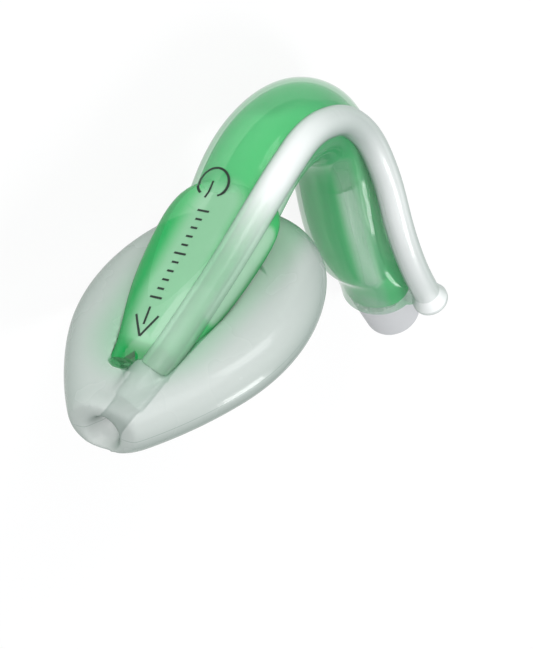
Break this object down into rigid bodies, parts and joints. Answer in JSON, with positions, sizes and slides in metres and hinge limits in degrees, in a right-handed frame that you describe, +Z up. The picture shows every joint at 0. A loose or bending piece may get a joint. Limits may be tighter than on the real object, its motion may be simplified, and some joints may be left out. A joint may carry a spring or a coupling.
{
  "type": "laryngeal mask airway",
  "caption": "Second-generation laryngeal mask airway with an egg-shaped cuff, a curved translucent stem, a side drain tube and a 15 mm connector.",
  "frame": {"origin": "bottom centre of the bounding box of the device as it lies on its side on a flat surface", "axes": "+X from the tip of the mask towards the connector, +Z up out of the surface it lies on, +Y from the arch's open side towards its crown"},
  "size_m": [0.1376, 0.0722, 0.0536],
  "materials": {
    "tinted_core": "satin translucent",
    "clear_sleeve": "satin clear",
    "clear_drain": "gloss clear",
    "clear_cuff": "satin clear",
    "connector_plastic": "matte"
  },
  "bodies": {
    "root": {"airway_tube": "tinted_core", "sleeve": "clear_sleeve", "drain_tube": "clear_drain", "cuff": "clear_cuff", "connector": "connector_plastic"}
  },
  "joints": []
}
